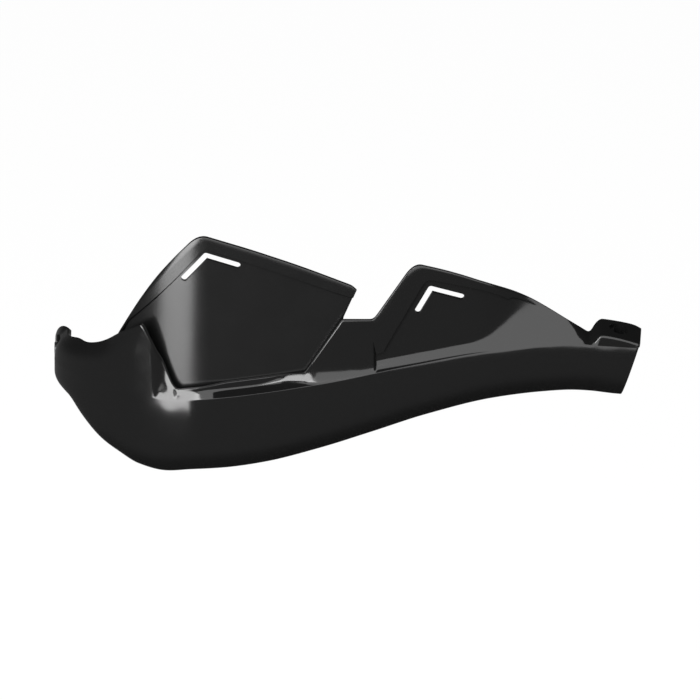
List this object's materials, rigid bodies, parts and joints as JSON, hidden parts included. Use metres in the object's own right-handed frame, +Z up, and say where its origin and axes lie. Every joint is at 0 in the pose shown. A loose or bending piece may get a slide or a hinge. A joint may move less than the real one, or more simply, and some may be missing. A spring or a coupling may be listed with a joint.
{
  "type": "motorcycle hand guard",
  "caption": "Wrap-round hand guard for a handlebar end: glossy ribbed shell with a window and a recessed wing, and a satin wind deflector screwed on behind.",
  "frame": {"origin": "centre of the seat face round the bar end bolt hole, on the handlebar axis", "axes": "+X inboard along the handlebar, +Z up, -Y forwards; the guard is for the right-hand end of the bar"},
  "size_m": [0.3412, 0.0914, 0.1429],
  "materials": {
    "gloss_shell": "polished black injection moulding",
    "satin_deflector": "satin black injection moulding",
    "steel_bush": "turned, zinc plated",
    "steel_screws": "zinc plated"
  },
  "bodies": {
    "root": {"shell": "gloss_shell", "deflector": "satin_deflector", "bar_end_bush": "steel_bush", "deflector_screws": "steel_screws"}
  },
  "joints": []
}
